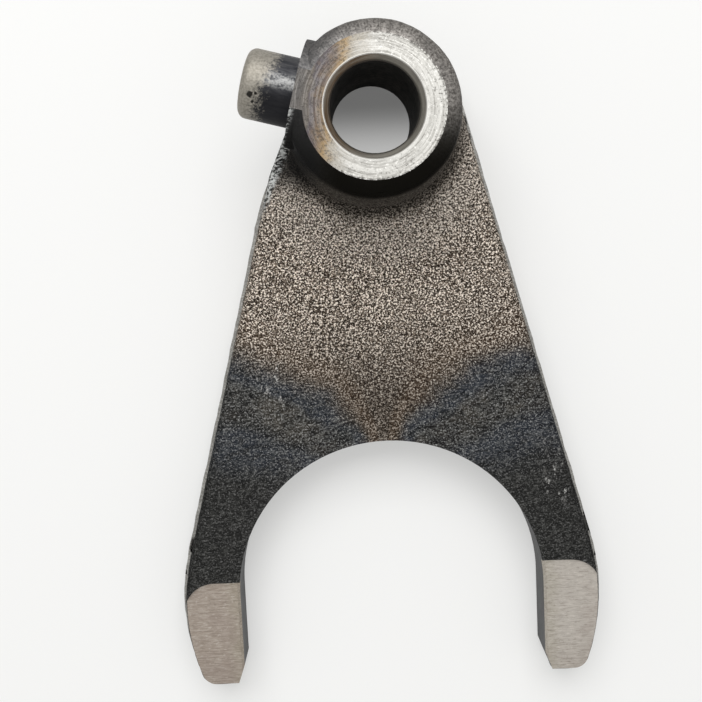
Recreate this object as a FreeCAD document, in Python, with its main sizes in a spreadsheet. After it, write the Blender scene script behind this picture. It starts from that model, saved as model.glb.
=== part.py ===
"""Shift fork: one forged steel piece with a bored boss, a guide pin, a flared web and two claws.

Frame, in millimetres: Z is the axis of the rail bore, with z = 0 on the boss's lower face.
The web runs from the boss along -Y to the claws, and X goes across it. The guide pin points to -X.
The lower face of the boss and the lower faces of the claws lie in one plane, on which the fork rests.
"""
import FreeCAD, Part

import math
import os

import Sketcher

Vector = FreeCAD.Vector

NODE = "shift_fork"

# Driving dimensions: millimetres, and degrees where the name ends in angle.
DIMENSIONS = {
    # boss round the rail bore
    "bore_dia": 10.0,
    "upper_chamfer": 0.75,
    "lower_chamfer": 0.5,
    "boss_length": 22.0,
    "boss_radius": 11.0,
    "boss_draft_angle": 4.0,
    "crown_radius": 3.0,
    "upper_face_inset": 3.0,
    "lower_face_inset": 1.5,
    # forging: parting plane, side draft, trimmed flash and rounded edges
    "parting_height": 3.5,
    "draft_angle": 5.0,
    "flash_width": 0.35,
    "flash_thickness": 1.0,
    "edge_radius": 1.0,
    "root_radius": 2.0,
    # web between the boss and the claws
    "web_margin": 0.3,
    "web_top": 7.0,
    "web_relief": 0.4,
    # claws on either side of the mouth
    "mouth_reach": 60.0,
    "mouth_width": 39.6,
    "claw_width": 7.35,
    "claw_offset": 1.6,
    "claw_run": 12.1,
    "tip_round": 2.2,
    "tip_cut_length": 2.6,
    "tip_cut_width": 0.95,
    # milled faces of the claws
    "claw_thickness": 6.5,
    "left_face_rise": 2.0,
    "right_face_rise": 3.1,
    "face_corner": 4.0,
    "face_bevel": 0.35,
    # guide pin, its lug and the shoulder that is faced round it
    "pin_angle": 15.5,
    "pin_drop": 5.8,
    "pin_dia": 8.0,
    "pin_length": 6.17,
    "pin_end_radius": 1.0,
    "lug_dia": 12.4,
    "shoulder_inset": 1.87,
    # straight side of the forging under the pin
    "trim_angle": 24.4,
    "trim_inset": 1.64,
}

# Sizes that follow from the driving dimensions.
DERIVED = {
    "upper_face_dia": "2 * (boss_radius - upper_face_inset)",
    "lower_face_dia": "2 * (boss_radius - lower_face_inset)",
    "flank_reach": "boss_radius + web_margin",
    "claw_reach": "mouth_reach + claw_offset",
    "claw_radius": "mouth_width / 2 + claw_width",
    "tip_reach": "mouth_reach + claw_run",
    "left_face_start": "mouth_reach - left_face_rise",
    "right_face_start": "mouth_reach - right_face_rise",
    "pin_height": "boss_length - pin_drop",
    "shoulder_reach": "boss_radius - shoulder_inset",
    "pin_reach": "boss_radius - shoulder_inset + pin_length",
    "trim_reach": "boss_radius - trim_inset",
}

# How far a cutting outline runs past the piece.
OVERRUN = 6.0

# Two places closer than this are the same one.
TOUCH = 1e-4

doc = FreeCAD.newDocument("ShiftFork")


def make_sheet():
    """Spreadsheet with one row for each driving dimension, and then one for each that follows."""
    sheet = doc.addObject("Spreadsheet::Sheet", "Dimensions")
    rows = [(name, str(value)) for name, value in DIMENSIONS.items()]
    rows += [(name, "=" + formula) for name, formula in DERIVED.items()]
    for row, (name, content) in enumerate(rows, start=1):
        sheet.set("A%d" % row, name)
        sheet.set("B%d" % row, content)
        sheet.setAlias("B%d" % row, name)
    doc.recompute()
    return sheet


sheet = make_sheet()


def size(name):
    """Value of a dimension, for the first position of a sketch's points."""
    return float(sheet.get(name))


def cell(name):
    """Reference to a dimension in an expression."""
    return "Dimensions." + name


body = doc.addObject("PartDesign::Body", "Body")
body.Label = NODE


def origin_plane(role):
    """Plane of the body's own origin."""
    return next(item for item in body.Origin.OriginFeatures if item.Role == role)


def new_sketch(name, role="XY_Plane", height=None):
    """Empty sketch on an origin plane, lifted by the expression height."""
    sketch = body.newObject("Sketcher::SketchObject", name)
    sketch.AttachmentSupport = [(origin_plane(role), "")]
    sketch.MapMode = "FlatFace"
    if height:
        sketch.setExpression("AttachmentOffset.Base.z", height)
    return sketch


def line(sketch, start, end):
    """Straight edge between two (x, y) points."""
    return sketch.addGeometry(Part.LineSegment(Vector(*start, 0), Vector(*end, 0)), False)


def arc(sketch, centre, radius, first, last):
    """Arc that runs counter-clockwise from the first to the last angle, in degrees."""
    circle = Part.Circle(Vector(*centre, 0), Vector(0, 0, 1), radius)
    return sketch.addGeometry(Part.ArcOfCircle(circle, math.radians(first), math.radians(last)), False)


def circle(sketch, centre, radius):
    """Full circle."""
    return sketch.addGeometry(Part.Circle(Vector(*centre, 0), Vector(0, 0, 1), radius), False)


def constrain(sketch, *rule):
    """Geometric constraint."""
    sketch.addConstraint(Sketcher.Constraint(*rule))


def drive(sketch, name, expression, *rule):
    """Dimensional constraint whose value follows an expression."""
    index = sketch.addConstraint(Sketcher.Constraint(*rule))
    sketch.renameConstraint(index, name)
    sketch.setExpression("Constraints." + name, expression)


def chain(sketch, edges, smooth=()):
    """Join the edges end to start, in their order, into one closed outline.

    An edge listed in smooth runs into the next one without a corner.
    """
    for this, following in zip(edges, edges[1:] + edges[:1]):
        joint = "Tangent" if this in smooth else "Coincident"
        constrain(sketch, joint, this, 2, following, 1)


def feature(kind, name, sketch):
    """PartDesign feature that is driven by a sketch."""
    item = body.newObject("PartDesign::" + kind, name)
    item.Profile = sketch
    sketch.Visibility = False
    return item


def edges_where(test):
    """Names of the body's present edges that a test picks."""
    doc.recompute()
    shape = body.Tip.Shape
    return ["Edge%d" % (i + 1) for i, edge in enumerate(shape.Edges) if test(edge)]


def dress(kind, name, test, value, expression):
    """Fillet or chamfer on the edges that a test picks."""
    names = edges_where(test)
    if not names:
        raise RuntimeError(name + " finds no edge")
    item = body.newObject("PartDesign::" + kind, name)
    item.Base = (item.BaseFeature, names)
    setattr(item, value, size_of(expression))
    item.setExpression(value, expression)
    doc.recompute()
    return item


def size_of(expression):
    """Value of an expression that names a single driving dimension."""
    return size(expression.split(".")[1])


def level(edge, height):
    """Whether an edge lies in the plane z = height."""
    box = edge.BoundBox
    return abs(box.ZMin - height) < TOUCH and abs(box.ZMax - height) < TOUCH


def cutting(name, before):
    """Stop if a cut has taken nothing away."""
    doc.recompute()
    if body.Tip.Shape.Volume > before - TOUCH:
        raise RuntimeError(name + " cuts nothing")


def pocket(name, sketch, upwards=False, length=None):
    """Cut through everything, or by a length, on one side of the sketch."""
    doc.recompute()
    before = body.Tip.Shape.Volume
    item = feature("Pocket", name, sketch)
    item.Reversed = upwards
    if length:
        item.Type = "Length"
        item.setExpression("Length", length)
    else:
        item.Type = "ThroughAll"
    cutting(name, before)
    return item


# Half the angle between the flanks, which touch the web's round end and the claw circle.
flank_angle = math.degrees(math.asin((size("claw_radius") - size("flank_reach")) / size("claw_reach")))


def polar(centre, radius, angle):
    """Point at an angle, in degrees, on a circle."""
    x, y = centre
    return x + radius * math.cos(math.radians(angle)), y + radius * math.sin(math.radians(angle))


def meet(first, second):
    """Point where two lines meet, each given as (angle of its normal, distance from the origin)."""
    (a, p), (b, q) = first, second
    turn = math.sin(math.radians(b - a))
    x = (p * math.sin(math.radians(b)) - q * math.sin(math.radians(a))) / turn
    y = (q * math.cos(math.radians(a)) - p * math.cos(math.radians(b))) / turn
    return x, y


def fork_outline(name, grow):
    """Outline of the forging at the parting plane, without the mouth.

    grow is the name of a dimension by which the outline stands out all round, or None.
    """
    more = " + " + cell(grow) if grow else ""
    extra = size(grow) if grow else 0.0
    end = size("flank_reach") + extra
    claw = size("claw_radius") + extra
    corner = size("tip_round") + extra
    tip = size("tip_reach") + extra
    claw_centre = (0.0, -size("claw_reach"))

    # The rounded tip corner touches the claw circle from inside and the end line.
    corner_y = -tip + corner
    corner_x = math.sqrt((claw - corner) ** 2 - (corner_y - claw_centre[1]) ** 2)
    corner_angle = math.degrees(math.atan2(corner_y - claw_centre[1], corner_x))

    sketch = new_sketch(name, height=cell("parting_height"))
    end_arc = arc(sketch, (0, 0), end, flank_angle, 180 - flank_angle)
    left_side = line(sketch, polar((0, 0), end, 180 - flank_angle),
                     polar(claw_centre, claw, 180 - flank_angle))
    left_claw = arc(sketch, claw_centre, claw, 180 - flank_angle, 180 - corner_angle)
    left_corner = arc(sketch, (-corner_x, corner_y), corner, 180 - corner_angle, 270)
    tip_side = line(sketch, (-corner_x, -tip), (corner_x, -tip))
    right_corner = arc(sketch, (corner_x, corner_y), corner, 270, 360 + corner_angle)
    right_claw = arc(sketch, claw_centre, claw, corner_angle, flank_angle)
    right_side = line(sketch, polar(claw_centre, claw, flank_angle), polar((0, 0), end, flank_angle))

    ring = [end_arc, left_side, left_claw, left_corner, tip_side, right_corner, right_claw, right_side]
    chain(sketch, ring, smooth=ring)
    constrain(sketch, "Coincident", end_arc, 3, -1, 1)
    constrain(sketch, "Coincident", left_claw, 3, right_claw, 3)
    constrain(sketch, "PointOnObject", left_claw, 3, -2)
    constrain(sketch, "Horizontal", tip_side)
    constrain(sketch, "Equal", left_claw, right_claw)
    constrain(sketch, "Equal", left_corner, right_corner)
    drive(sketch, "end", cell("flank_reach") + more, "Radius", end_arc, end)
    drive(sketch, "claw", cell("claw_radius") + more, "Radius", right_claw, claw)
    drive(sketch, "corner", cell("tip_round") + more, "Radius", right_corner, corner)
    drive(sketch, "reach", cell("claw_reach"), "DistanceY", right_claw, 3, -1, 1, -claw_centre[1])
    drive(sketch, "tip", cell("tip_reach") + more, "DistanceY", tip_side, 1, -1, 1, tip)
    doc.recompute()
    return sketch


def make_web():
    """Web with drafted sides above and below the parting plane, and rounded edges."""
    web = feature("Pad", "Web", fork_outline("WebOutline", None))
    web.SideType = "Two sides"
    web.setExpression("Length", "Dimensions.web_top - Dimensions.parting_height")
    web.setExpression("Length2", cell("parting_height"))
    web.setExpression("TaperAngle", "-1 * Dimensions.draft_angle")
    web.setExpression("TaperAngle2", "-1 * Dimensions.draft_angle")
    top = size("web_top")
    dress("Fillet", "WebEdges", lambda edge: level(edge, top) or level(edge, 0.0),
          "Radius", cell("edge_radius"))


def make_boss():
    """Boss as a turned half section: drafted both ways, round at its ends, with a flat upper face."""
    drop = math.tan(math.radians(size("boss_draft_angle")))
    wide = size("boss_radius")
    parting = size("parting_height")
    tall = size("boss_length")
    crown = size("crown_radius")
    foot = size("edge_radius")
    face = size("upper_face_dia") / 2
    foot_x = wide - drop * parting - foot
    crown_x = wide - drop * (tall - parting) - crown
    crown_y = tall - math.sqrt(crown ** 2 - (face - crown_x) ** 2)
    slope = size("boss_draft_angle")

    sketch = new_sketch("BossSection", role="XZ_Plane")
    axis = line(sketch, (0, tall), (0, 0))
    bottom = line(sketch, (0, 0), (foot_x, 0))
    low_round = arc(sketch, (foot_x, foot), foot, 270, 360 - slope)
    low_side = line(sketch, (foot_x + foot, foot), (wide, parting))
    high_side = line(sketch, (wide, parting), (crown_x + crown, crown_y))
    high_round = arc(sketch, (crown_x, crown_y), crown, slope,
                     math.degrees(math.acos((face - crown_x) / crown)))
    top = line(sketch, (face, tall), (0, tall))
    chain(sketch, [axis, bottom, low_round, low_side, high_side, high_round, top],
          smooth=[bottom, low_round, high_side])
    constrain(sketch, "Coincident", bottom, 1, -1, 1)
    constrain(sketch, "Vertical", axis)
    constrain(sketch, "Horizontal", bottom)
    constrain(sketch, "Horizontal", top)
    drive(sketch, "length", cell("boss_length"), "DistanceY", axis, 2, axis, 1, tall)
    drive(sketch, "foot", cell("edge_radius"), "Radius", low_round, foot)
    drive(sketch, "crown", cell("crown_radius"), "Radius", high_round, crown)
    drive(sketch, "face", "Dimensions.upper_face_dia / 2", "DistanceX", top, 2, top, 1, face)
    drive(sketch, "radius", cell("boss_radius"), "DistanceX", -1, 1, low_side, 2, wide)
    drive(sketch, "parting", cell("parting_height"), "DistanceY", -1, 1, low_side, 2, parting)
    drive(sketch, "low_draft", "(90 - Dimensions.boss_draft_angle) * 1 deg",
          "Angle", low_side, math.radians(90 - slope))
    drive(sketch, "high_draft", "(90 + Dimensions.boss_draft_angle) * 1 deg",
          "Angle", high_side, math.radians(90 + slope))
    boss = feature("Revolution", "Boss", sketch)
    boss.ReferenceAxis = (sketch, ["V_Axis"])
    boss.Angle = 360.0
    doc.recompute()

    # Root fillet along the curve where the boss rises out of the web's upper face.
    top_z = size("web_top")
    foot_radius = wide - drop * (top_z - parting)
    dress("Fillet", "BossRoot",
          lambda edge: level(edge, top_z) and on_circle(edge, foot_radius) and edge.Length > foot_radius,
          "Radius", cell("root_radius"))


def on_circle(edge, radius):
    """Whether both ends and the middle of an edge lie at a radius from the bore's axis."""
    first, last = edge.ParameterRange
    points = [edge.valueAt(first), edge.valueAt(0.5 * (first + last)), edge.valueAt(last)]
    return all(abs(math.hypot(point.x, point.y) - radius) < TOUCH for point in points)


def make_flash():
    """Trimmed flash that stands out along the parting plane."""
    flash = feature("Pad", "Flash", fork_outline("FlashOutline", "flash_width"))
    flash.SideType = "Symmetric"
    flash.setExpression("Length", cell("flash_thickness"))
    doc.recompute()


def make_trim():
    """Straight side of the forging under the pin, from the flank to the shoulder plane."""
    trim = (180.0 - size("trim_angle"), size("trim_reach"))
    shoulder = (180.0 - size("pin_angle"), size("shoulder_reach"))
    far = size("boss_radius") + OVERRUN
    bend = meet(trim, shoulder)
    low = meet(trim, (180.0, far + OVERRUN))
    high = meet(shoulder, (90.0, far))

    sketch = new_sketch("TrimOutline")
    trim_side = line(sketch, bend, low)
    outer = line(sketch, low, (low[0], far))
    upper = line(sketch, (low[0], far), high)
    shoulder_side = line(sketch, high, bend)
    chain(sketch, [trim_side, outer, upper, shoulder_side])
    constrain(sketch, "Vertical", outer)
    constrain(sketch, "Horizontal", upper)
    drive(sketch, "far", "Dimensions.boss_radius + %s" % OVERRUN, "DistanceY", -1, 1, upper, 1, far)
    drive(sketch, "wide", "Dimensions.boss_radius + %s" % (2 * OVERRUN),
          "DistanceX", outer, 1, -1, 1, -low[0])
    drive(sketch, "trim", cell("trim_reach"), "Distance", -1, 1, trim_side, trim[1])
    drive(sketch, "trim_turn", "-(90 + Dimensions.trim_angle) * 1 deg",
          "Angle", trim_side, math.radians(-90 - size("trim_angle")))
    drive(sketch, "shoulder", cell("shoulder_reach"), "Distance", -1, 1, shoulder_side, shoulder[1])
    drive(sketch, "shoulder_turn", "-(90 + Dimensions.pin_angle) * 1 deg",
          "Angle", shoulder_side, math.radians(-90 - size("pin_angle")))
    pocket("Trim", sketch, upwards=True, length=cell("web_top"))


def pin_sketch(name):
    """Empty sketch in the shoulder plane, facing the bore, with y as the height."""
    sketch = new_sketch(name, role="YZ_Plane")
    sketch.AttachmentOffset = FreeCAD.Placement(Vector(0, 0, 0), FreeCAD.Rotation(Vector(0, 1, 0), -1))
    sketch.setExpression("AttachmentOffset.Rotation.Angle", "-1 * Dimensions.pin_angle * 1 deg")
    sketch.setExpression("AttachmentOffset.Base.x",
                         "Dimensions.shoulder_reach * sin(Dimensions.pin_angle * 1 deg)")
    sketch.setExpression("AttachmentOffset.Base.z",
                         "-1 * Dimensions.shoulder_reach * cos(Dimensions.pin_angle * 1 deg)")
    return sketch


def pin_circle(name, diameter):
    """Circle round the pin's axis in the shoulder plane."""
    sketch = pin_sketch(name)
    ring = circle(sketch, (0, size("pin_height")), size(diameter) / 2)
    constrain(sketch, "PointOnObject", ring, 3, -2)
    drive(sketch, "height", cell("pin_height"), "DistanceY", -1, 1, ring, 3, size("pin_height"))
    drive(sketch, "diameter", cell(diameter), "Diameter", ring, size(diameter))
    return sketch


def rectangle(sketch, left, low, right, high):
    """Four edges, counter-clockwise from the lower left corner, square to the sketch."""
    corners = [(left, low), (right, low), (right, high), (left, high)]
    edges = [line(sketch, corner, corners[(i + 1) % 4]) for i, corner in enumerate(corners)]
    chain(sketch, edges)
    for i, edge in enumerate(edges):
        constrain(sketch, ("Horizontal", "Vertical")[i % 2], edge)
    return edges


def make_shoulder():
    """Flat face across the boss, above the web, and the lug that carries the guide pin."""
    far = size("boss_radius") + OVERRUN
    sketch = pin_sketch("ShoulderOutline")
    low, right, high, left = rectangle(sketch, -far, size("web_top"), far, size("boss_length") + OVERRUN)
    drive(sketch, "low", cell("web_top"), "DistanceY", -1, 1, low, 1, size("web_top"))
    drive(sketch, "high", "Dimensions.boss_length + %s" % OVERRUN,
          "DistanceY", -1, 1, high, 1, size("boss_length") + OVERRUN)
    drive(sketch, "right", "Dimensions.boss_radius + %s" % OVERRUN, "DistanceX", -1, 1, right, 1, far)
    drive(sketch, "left", "Dimensions.boss_radius + %s" % OVERRUN, "DistanceX", left, 1, -1, 1, far)
    pocket("Shoulder", sketch)

    lug = feature("Pad", "Lug", pin_circle("LugCircle", "lug_dia"))
    lug.setExpression("Length", cell("shoulder_reach"))
    doc.recompute()

    facing = new_sketch("FacingCircle", height=cell("boss_length"))
    ring = circle(facing, (0, 0), far)
    constrain(facing, "Coincident", ring, 3, -1, 1)
    drive(facing, "radius", "Dimensions.boss_radius + %s" % OVERRUN, "Radius", ring, far)
    pocket("Facing", facing, upwards=True)

    pin = feature("Pad", "Pin", pin_circle("PinCircle", "pin_dia"))
    pin.Reversed = True
    pin.setExpression("Length", "Dimensions.pin_reach - Dimensions.shoulder_reach")
    end = size("pin_reach")
    turn = math.radians(180 - size("pin_angle"))
    outward = Vector(math.cos(turn), math.sin(turn), 0)
    dress("Fillet", "PinEnd",
          lambda edge: all(abs(vertex.Point.dot(outward) - end) < TOUCH for vertex in edge.Vertexes)
          and abs(edge.Length - math.pi * size("pin_dia")) < TOUCH,
          "Radius", cell("pin_end_radius"))


def make_bore():
    """Rail bore through the boss, chamfered at both ends."""
    sketch = new_sketch("BoreCircle")
    ring = circle(sketch, (0, 0), size("bore_dia") / 2)
    constrain(sketch, "Coincident", ring, 3, -1, 1)
    drive(sketch, "diameter", cell("bore_dia"), "Diameter", ring, size("bore_dia"))
    pocket("Bore", sketch, upwards=True)
    radius = size("bore_dia") / 2
    dress("Chamfer", "UpperChamfer",
          lambda edge: on_circle(edge, radius) and level(edge, size("boss_length")),
          "Size", cell("upper_chamfer"))
    dress("Chamfer", "LowerChamfer", lambda edge: on_circle(edge, radius) and level(edge, 0.0),
          "Size", cell("lower_chamfer"))


def make_mouth():
    """Mouth between the claws: a round head, straight walls and a cut at each inner tip corner."""
    half = size("mouth_width") / 2
    centre = -size("mouth_reach")
    cut_start = -(size("tip_reach") - size("tip_cut_length"))
    lean = size("tip_cut_width") / size("tip_cut_length")
    end = -(size("tip_reach") + OVERRUN)
    end_x = half + (cut_start - end) * lean

    sketch = new_sketch("MouthOutline")
    head = arc(sketch, (0, centre), half, 0, 180)
    left_wall = line(sketch, (-half, centre), (-half, cut_start))
    left_cut = line(sketch, (-half, cut_start), (-end_x, end))
    bottom = line(sketch, (-end_x, end), (end_x, end))
    right_cut = line(sketch, (end_x, end), (half, cut_start))
    right_wall = line(sketch, (half, cut_start), (half, centre))
    chain(sketch, [head, left_wall, left_cut, bottom, right_cut, right_wall], smooth=[head, right_wall])
    constrain(sketch, "PointOnObject", head, 3, -2)
    constrain(sketch, "Vertical", left_wall)
    constrain(sketch, "Vertical", right_wall)
    constrain(sketch, "Horizontal", left_cut, 1, right_cut, 2)
    constrain(sketch, "Symmetric", left_cut, 2, right_cut, 1, -2)
    drive(sketch, "width", cell("mouth_width"), "Diameter", head, 2 * half)
    drive(sketch, "reach", cell("mouth_reach"), "DistanceY", head, 3, -1, 1, -centre)
    drive(sketch, "cut_start", "Dimensions.tip_reach - Dimensions.tip_cut_length",
          "DistanceY", left_wall, 2, -1, 1, -cut_start)
    drive(sketch, "end", "Dimensions.tip_reach + %s" % OVERRUN, "DistanceY", bottom, 1, -1, 1, -end)
    drive(sketch, "lean", "-90 deg - atan(Dimensions.tip_cut_width / Dimensions.tip_cut_length)",
          "Angle", left_cut, -math.pi / 2 - math.atan(lean))
    pocket("Mouth", sketch, upwards=True)


def make_relief():
    """Shallow relief under the web, which leaves the lower faces of the boss and the claws proud."""
    far = size("claw_radius") + OVERRUN
    start = size("left_face_start")
    face = size("lower_face_dia")
    sketch = new_sketch("ReliefOutline")
    low, right, high, left = rectangle(sketch, -far, -start, far, far)
    ring = circle(sketch, (0, 0), face / 2)
    constrain(sketch, "Coincident", ring, 3, -1, 1)
    drive(sketch, "face", cell("lower_face_dia"), "Diameter", ring, face)
    drive(sketch, "start", cell("left_face_start"), "DistanceY", low, 1, -1, 1, start)
    drive(sketch, "high", "Dimensions.claw_radius + %s" % OVERRUN, "DistanceY", -1, 1, high, 1, far)
    drive(sketch, "right", "Dimensions.claw_radius + %s" % OVERRUN, "DistanceX", -1, 1, right, 1, far)
    drive(sketch, "left", "Dimensions.claw_radius + %s" % OVERRUN, "DistanceX", left, 1, -1, 1, far)
    pocket("Relief", sketch, upwards=True, length=cell("web_relief"))


def make_claw_face(name, side, start_name):
    """Milled upper face of one claw; side is -1 for the left claw and 1 for the right one."""
    start = size(start_name)
    corner = size("face_corner")
    outer = size("claw_radius")
    inner = size("mouth_width") / 2 - corner
    end = size("tip_reach") + OVERRUN

    sketch = new_sketch(name + "Outline", height=cell("claw_thickness"))
    border = line(sketch, (side * inner, -start), (side * (outer - corner), -start))
    turn = (0, 90) if side > 0 else (90, 180)
    bend = arc(sketch, (side * (outer - corner), -start - corner), corner, *turn)
    outer_side = line(sketch, (side * outer, -start - corner), (side * outer, -end))
    bottom = line(sketch, (side * outer, -end), (side * inner, -end))
    inner_side = line(sketch, (side * inner, -end), (side * inner, -start))
    # The arc runs counter-clockwise, so on the right claw it leads from the outer side to the border.
    first, last = (2, 1) if side > 0 else (1, 2)
    constrain(sketch, "Tangent", border, 2, bend, first)
    constrain(sketch, "Tangent", bend, last, outer_side, 1)
    constrain(sketch, "Coincident", outer_side, 2, bottom, 1)
    constrain(sketch, "Coincident", bottom, 2, inner_side, 1)
    constrain(sketch, "Coincident", inner_side, 2, border, 1)
    constrain(sketch, "Horizontal", border)
    constrain(sketch, "Horizontal", bottom)
    constrain(sketch, "Vertical", outer_side)
    constrain(sketch, "Vertical", inner_side)
    ends = (-1, 1, outer_side, 1) if side > 0 else (outer_side, 1, -1, 1)
    inner_ends = (-1, 1, inner_side, 1) if side > 0 else (inner_side, 1, -1, 1)
    drive(sketch, "corner", cell("face_corner"), "Radius", bend, corner)
    drive(sketch, "start", cell(start_name), "DistanceY", border, 1, -1, 1, start)
    drive(sketch, "outer", cell("claw_radius"), "DistanceX", *ends, outer)
    drive(sketch, "inner", "Dimensions.mouth_width / 2 - Dimensions.face_corner",
          "DistanceX", *inner_ends, inner)
    drive(sketch, "end", "Dimensions.tip_reach + %s" % OVERRUN, "DistanceY", bottom, 1, -1, 1, end)
    pocket(name, sketch, upwards=True)


def make_claw_faces():
    """Milled faces of both claws, with a small bevel along the mouth."""
    make_claw_face("LeftFace", -1, "left_face_start")
    make_claw_face("RightFace", 1, "right_face_start")
    wall = size("mouth_width") / 2
    top = size("claw_thickness")

    def along_mouth(edge):
        box = edge.BoundBox
        straight = abs(abs(box.XMin) - wall) < TOUCH and box.XLength < TOUCH
        return straight and (level(edge, top) or level(edge, 0.0))

    dress("Chamfer", "FaceBevels", along_mouth, "Size", cell("face_bevel"))


def check():
    """Stop on a failed object, or on a piece that isn't one valid solid."""
    doc.recompute()
    for item in doc.Objects:
        if "Invalid" in item.State or "Error" in item.State:
            raise RuntimeError("%s failed: %s" % (item.Name, item.State))
    shape = body.Shape
    if shape.isNull() or not shape.isValid() or len(shape.Solids) != 1:
        raise RuntimeError("the fork isn't one valid solid")


make_web()
make_boss()
make_flash()
make_trim()
make_shoulder()
make_bore()
make_mouth()
make_relief()
make_claw_faces()
check()

body.Placement = FreeCAD.Placement()
os.makedirs("parts", exist_ok=True)
body.Shape.exportStep("parts/%s.step" % body.Label)
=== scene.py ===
import math

import bmesh
import bpy
from bpy.props import FloatProperty, FloatVectorProperty, PointerProperty
from mathutils import Matrix, Vector, noise


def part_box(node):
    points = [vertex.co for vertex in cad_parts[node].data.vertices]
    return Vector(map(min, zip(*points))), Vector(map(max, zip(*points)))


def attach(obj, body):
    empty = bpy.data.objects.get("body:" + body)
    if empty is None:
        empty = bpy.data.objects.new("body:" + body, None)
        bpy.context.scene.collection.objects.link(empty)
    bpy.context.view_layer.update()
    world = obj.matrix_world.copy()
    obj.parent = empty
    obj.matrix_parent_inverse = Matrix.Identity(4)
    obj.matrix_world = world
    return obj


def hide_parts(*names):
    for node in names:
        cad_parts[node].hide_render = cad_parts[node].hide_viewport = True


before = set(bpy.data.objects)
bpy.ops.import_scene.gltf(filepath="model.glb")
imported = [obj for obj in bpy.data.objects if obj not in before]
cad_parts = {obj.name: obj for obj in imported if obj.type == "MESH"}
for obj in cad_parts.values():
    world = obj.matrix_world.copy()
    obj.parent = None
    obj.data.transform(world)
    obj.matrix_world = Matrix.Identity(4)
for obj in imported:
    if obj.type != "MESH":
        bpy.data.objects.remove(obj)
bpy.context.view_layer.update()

bl_info = {
    "name": "Shift Fork",
    "version": (1, 0, 0),
    "blender": (4, 5, 0),
    "location": "View3D > Sidebar > Shift Fork",
    "description": "Finishes a forged shift fork and sets its stage",
    "category": "Object",
}

NODE = "shift_fork"
MM = 0.001

# Places on the fork, in millimetres, as the solid has them.
BOSS_TOP = 22.0
BORE_RADIUS = 5.0
WEB_TOP = 7.0
CLAW_TOP = 6.5
MOUTH_CENTRE_Y = -60.0
MOUTH_RADIUS = 19.8
PARTING_Z = 3.5
FLASH_HALF = 0.5
SHOULDER_REACH = 9.13
PIN_ANGLE = math.radians(15.5)
PIN_OUT = Vector((-math.cos(PIN_ANGLE), math.sin(PIN_ANGLE), 0.0))
PIN_Z = 16.2
PIN_RADIUS = 4.0
TRIM_ANGLE = math.radians(24.4)
TRIM_REACH = 9.36

# Bounds that tell one surface from another: places in millimetres, then parts of a normal.
NEAR = 0.05
NEAR_BOSS = 21.0
CHAMFER_REACH = 7.0
MOUTH_WALL_REACH = MOUTH_RADIUS + 1.2
MOUTH_WALL_Y = -38.0
CLAW_EDGE_REACH = MOUTH_RADIUS + 0.5
CLAWS_Y = -55.0
TRIMMED_X = -6.0
STEEP = 0.5
LEVEL = 0.95
FLASH_LEVEL = 0.98
FLAT = 0.9995

# How the copy of the solid is merged, cut and smoothed.
MERGE_DISTANCE = 0.002 * MM
CUT_DISTANCE = 1e-7
SMOOTH_ANGLE = math.radians(26)

# Width and depth of the skin's waves and of the flash's tears, in millimetres.
SKIN_WAVES = ((3.1, 0.05), (1.1, 0.035), (0.5, 0.015))
FLASH_TEARS = ((2.2, 0.13), (0.8, 0.10))

# Upper edge of the heat tint, as a power of the distance from the V's middle, in millimetres.
TINT_MIDDLE_X = -0.3
TINT_POWER = 0.12
TINT_RISE = 36.1
TINT_FOOT_Y = -79.3

SURFACES = ("skin", "milled", "turned", "bore", "wall", "pin", "lug", "flash", "cut")

# Colours of the brown skin, the heat-tinted skin, the marks on them and painted shade lines.
SKIN_MOTTLE = (0.13, 0.11, 0.09)
SKIN_BY_MOUTH = (0.032, 0.025, 0.019)
SKIN_RUST = (0.085, 0.055, 0.033)
SKIN_GLINT = (0.84, 0.76, 0.67)
SKIN_PIT = (0.012, 0.009, 0.007)
SKIN_ROUND_BOSS = (0.62, 0.57, 0.51)
TINT_BLUE = (0.036, 0.046, 0.066)
TINT_OLIVE = (0.10, 0.085, 0.065)
TINT_GLINT = (0.5, 0.5, 0.49)
TINT_PIT = (0.008, 0.008, 0.008)
TINT_LOW = (0.017, 0.017, 0.016)
NICK = (0.55, 0.54, 0.52)
UNDER_LUG_SHADE = (0.014, 0.014, 0.014)
ABOVE_FLASH_SHADE = (0.012, 0.011, 0.010)
SHARD_DARK = (0.02, 0.02, 0.02)
SHARD_PALE = (0.58, 0.59, 0.58)

# Colours of the boss's wall and its foot, with painted shade on the web's side.
BOSS_DARK = (0.075, 0.069, 0.063)
BOSS_PALE = (0.34, 0.32, 0.30)
BOSS_LUMP = (0.11, 0.103, 0.097)
BOSS_BLUE = (0.055, 0.057, 0.063)
BOSS_PAINTED_SHADE = (0.004, 0.004, 0.004)
FOOT_PAINTED_SHADE = (0.008, 0.007, 0.005)
FOOT_SPECK = (0.60, 0.52, 0.45)

# Colours of the milled claw faces.
MILLED_TIP = (0.2, 0.165, 0.135)
MILLED_OLIVE = (0.27, 0.25, 0.185)
MILLED_LINE_PALE = (0.56, 0.515, 0.465)
MILLED_LINE_DARK = (0.19, 0.16, 0.137)
MILLED_SPECK_PALE = (0.66, 0.62, 0.575)
MILLED_SPECK_DARK = (0.14, 0.12, 0.10)
MILLED_CLOUD = (0.26, 0.21, 0.185)
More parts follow.
